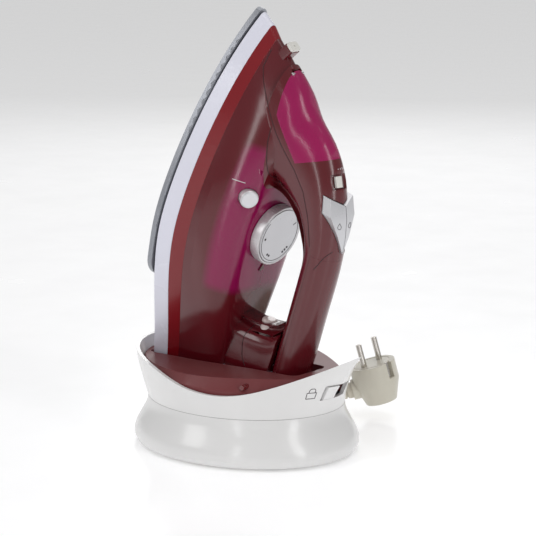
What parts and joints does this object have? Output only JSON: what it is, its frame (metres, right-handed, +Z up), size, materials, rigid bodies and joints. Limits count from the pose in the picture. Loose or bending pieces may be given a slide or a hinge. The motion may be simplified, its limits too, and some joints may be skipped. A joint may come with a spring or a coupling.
{
  "type": "clothes iron",
  "caption": "Cordless steam iron standing on its charging base, with temperature dial, steam slider, thumb buttons, filling door and a coiled cord with plug.",
  "frame": {"origin": "on the floor, under the middle of the bounding box of the base and the standing iron, without the cord", "axes": "+X from the heel side of the base towards its lip, the side the sole plate faces away from; +Z up; Y is the symmetry plane's normal, and the plug lies at +Y"},
  "size_m": [0.2096, 0.2281, 0.3458],
  "materials": {
    "sole": "brushed, warm grey",
    "element": "dark heater sheath",
    "steel": "satin",
    "brass": "bare",
    "pins": "nickel plated",
    "springs": "bright wire",
    "pale_skirt": "satin lavender white",
    "red_band": "deep red",
    "dark_shell": "dark maroon gloss",
    "tank": "magenta red, see-through",
    "silver": "silver",
    "dial_grip": "grey",
    "lens": "clear",
    "indicator": "dark red, see-through",
    "dark_inner": "black, heat resistant",
    "inner": "natural",
    "heel": "satin lavender white",
    "base_white": "satin white",
    "tray": "dusty maroon",
    "feet": "soft",
    "board": "printed board",
    "relay": "moulded",
    "cord": "cream flex",
    "plug": "cream"
  },
  "bodies": {
    "base": {"base_lower": "base_white", "base_upper": "base_white", "tray": "tray", "charge_light": "indicator", "contact_tower": "dark_inner", "tower_contacts": "brass", "lock_track": "base_white", "floor_plate": "base_white", "foot_1": "feet", "foot_2": "feet", "foot_3": "feet", "foot_4": "feet", "supply_board": "board", "supply_relay": "relay", "cord_clip": "inner", "cord_coil": "cord", "cord_tail": "cord", "plug_body": "plug", "plug_pins": "pins", "earth_contacts": "pins", "plug_sleeve": "cord"},
    "iron": {"soleplate": "sole", "heating_element": "element", "chamber_lid": "steel", "thermostat": "steel", "skirt": "pale_skirt", "trim_band": "red_band", "heat_shield": "dark_inner", "water_tank": "tank", "fill_neck": "inner", "nose_cover": "dark_shell", "door_hinge_pin": "steel", "nozzle_block": "dark_shell", "spray_nozzle": "inner", "grip_under": "dark_shell", "grip_top": "dark_shell", "lamp_lens": "lens", "heel_cover": "heel", "heel_screw": "steel", "heel_connector": "dark_inner", "heel_contacts": "brass", "dial_pointer": "dark_shell", "clean_spring": "springs", "slider_track": "dark_shell", "spray_pump": "inner", "spray_spring": "springs", "boost_pump": "inner", "boost_spring": "springs", "auto_off_board": "board"},
    "dial": {"temperature_dial": "dial_grip", "dial_face": "silver", "dial_spindle": "pins"},
    "clean_push": {"clean_button": "dial_grip", "clean_button_face": "silver"},
    "slider": {"steam_slider": "inner"},
    "valve_rod": {"steam_valve_rod": "inner"},
    "spray_push": {"spray_button": "silver"},
    "boost_push": {"boost_button": "silver"},
    "door": {"fill_door": "tank"},
    "lock": {"lock_slider": "base_white"}
  },
  "joints": [
    {"name": "iron_lift", "type": "slide", "parent": "base", "child": "iron", "axis": [0.3173, 0, 0.9483], "range_m": [0, 0.12]},
    {"name": "dial_turn", "type": "hinge", "parent": "iron", "child": "dial", "pos_m": [0.01934, 0, 0.17161], "axis": [0.9483, 0, -0.3173], "range_deg": [0, 270]},
    {"name": "clean_press", "type": "slide", "parent": "iron", "child": "clean_push", "axis": [-0.8213, 0.5, 0.2748], "range_m": [0, 0.003], "stiffness_N_per_m": 500, "springref_m": -0.001, "deforming": ["clean_spring"]},
    {"name": "steam_slide", "type": "hinge", "parent": "iron", "child": "slider", "pos_m": [0.07109, 0, 0.21756], "axis": [0.1611, 0, -0.9869], "range_deg": [-36, 0]},
    {"name": "valve_move", "type": "slide", "parent": "iron", "child": "valve_rod", "axis": [0.9483, 0, -0.3173], "range_m": [0, 0.002]},
    {"name": "spray_press", "type": "slide", "parent": "iron", "child": "spray_push", "axis": [-0.9483, 0, 0.3173], "range_m": [0, 0.003], "stiffness_N_per_m": 500, "springref_m": -0.001, "deforming": ["spray_spring"]},
    {"name": "boost_press", "type": "slide", "parent": "iron", "child": "boost_push", "axis": [-0.9483, 0, 0.3173], "range_m": [0, 0.003], "stiffness_N_per_m": 500, "springref_m": -0.001, "deforming": ["boost_spring"]},
    {"name": "door_open", "type": "hinge", "parent": "iron", "child": "door", "pos_m": [0.04146, 0, 0.2976], "axis": [0, -1, 0], "range_deg": [0, 70]},
    {"name": "lock_slide", "type": "slide", "parent": "base", "child": "lock", "axis": [0, 1, 0], "range_m": [0, 0.012]}
  ],
  "couplings": [
    {"joint": "steam_slide", "follows": "valve_move", "rad_per_m": -314.16}
  ]
}
